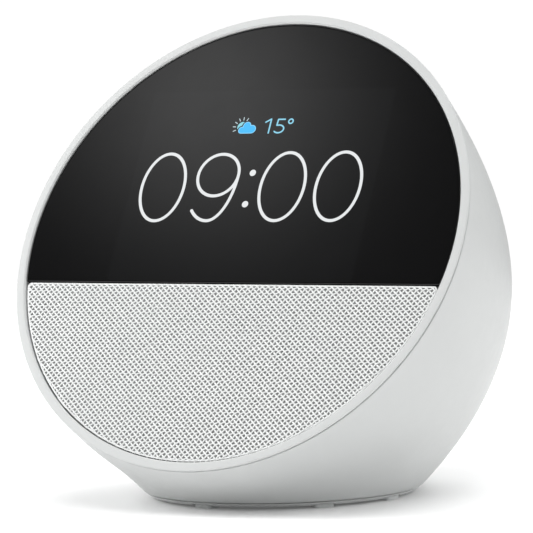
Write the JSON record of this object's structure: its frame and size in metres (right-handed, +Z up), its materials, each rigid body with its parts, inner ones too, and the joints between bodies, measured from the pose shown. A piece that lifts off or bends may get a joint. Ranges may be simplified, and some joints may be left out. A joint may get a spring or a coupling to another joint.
{
  "type": "smart display",
  "caption": "Round-faced smart display with a tilted front, glass over the display above a cloth speaker grille, and push buttons on top.",
  "frame": {"origin": "middle of the footprint of the whole object, on the table", "axes": "+Z up, -Y the way the front faces, +X to the right as seen from the front, along the object's width"},
  "size_m": [0.113, 0.1034, 0.1086],
  "materials": {
    "shell_plastic": "satin",
    "ring_plastic": "satin",
    "cover_glass": "gloss",
    "display": "gloss",
    "cloth": "woven mesh",
    "dark_plastic": "matte",
    "foam": "matte",
    "rubber": "matte",
    "circuit_board": "satin",
    "film": "satin",
    "cone_paper": "matte",
    "copper": "satin",
    "steel": "satin",
    "aluminium": "satin"
  },
  "bodies": {
    "case": {"rear_shell": "shell_plastic", "bezel_ring": "ring_plastic", "cover_glass": "cover_glass", "glass_gasket": "foam", "display_panel": "display", "display_backlight": "steel", "display_flex": "film", "grille_cloth": "cloth", "grille_plate": "dark_plastic", "front_frame": "dark_plastic", "frame_screw_1": "steel", "frame_screw_2": "steel", "frame_screw_3": "steel", "speaker_gasket": "foam", "speaker_basket": "dark_plastic", "speaker_surround": "rubber", "speaker_spider": "film", "speaker_magnet": "steel", "speaker_pole": "steel", "speaker_yoke": "steel", "acoustic_chamber": "dark_plastic", "speaker_lead": "rubber", "main_board": "circuit_board", "processor_shield": "steel", "wireless_shield": "steel", "heat_spreader": "aluminium", "board_screw_1": "steel", "board_screw_2": "steel", "board_screw_3": "steel", "antenna_left": "circuit_board", "antenna_right": "circuit_board", "switch_volume_down": "dark_plastic", "switch_microphone_off": "dark_plastic", "switch_volume_up": "dark_plastic", "button_board": "circuit_board", "microphone_seal": "rubber", "microphone_left": "steel", "microphone_right": "steel", "base_plate": "shell_plastic", "ballast_weight": "steel", "base_screw_1": "steel", "base_screw_2": "steel", "base_screw_3": "steel", "foot_1": "rubber", "foot_2": "rubber", "foot_3": "rubber", "foot_4": "rubber", "foot_5": "rubber", "power_jack": "dark_plastic", "power_jack_pin": "steel", "power_lead": "rubber"},
    "volume_down_key": {"button_volume_down": "ring_plastic", "plunger_volume_down": "rubber"},
    "microphone_off_key": {"button_microphone_off": "ring_plastic", "plunger_microphone_off": "rubber"},
    "volume_up_key": {"button_volume_up": "ring_plastic", "plunger_volume_up": "rubber"},
    "speaker_diaphragm": {"speaker_cone": "cone_paper", "speaker_dust_cap": "cone_paper", "speaker_coil": "copper"}
  },
  "joints": [
    {"name": "press_volume_down", "type": "slide", "parent": "case", "child": "volume_down_key", "axis": [0, -0.6455, -0.7638], "range_m": [0, 0.0006], "stiffness_N_per_m": 1500},
    {"name": "press_microphone_off", "type": "slide", "parent": "case", "child": "microphone_off_key", "axis": [0, -0.6455, -0.7638], "range_m": [0, 0.0006], "stiffness_N_per_m": 1500},
    {"name": "press_volume_up", "type": "slide", "parent": "case", "child": "volume_up_key", "axis": [0, -0.6455, -0.7638], "range_m": [0, 0.0006], "stiffness_N_per_m": 1500},
    {"name": "cone_travel", "type": "slide", "parent": "case", "child": "speaker_diaphragm", "axis": [0, -0.8712, 0.4909], "range_m": [-0.001, 0.001], "stiffness_N_per_m": 1200}
  ]
}
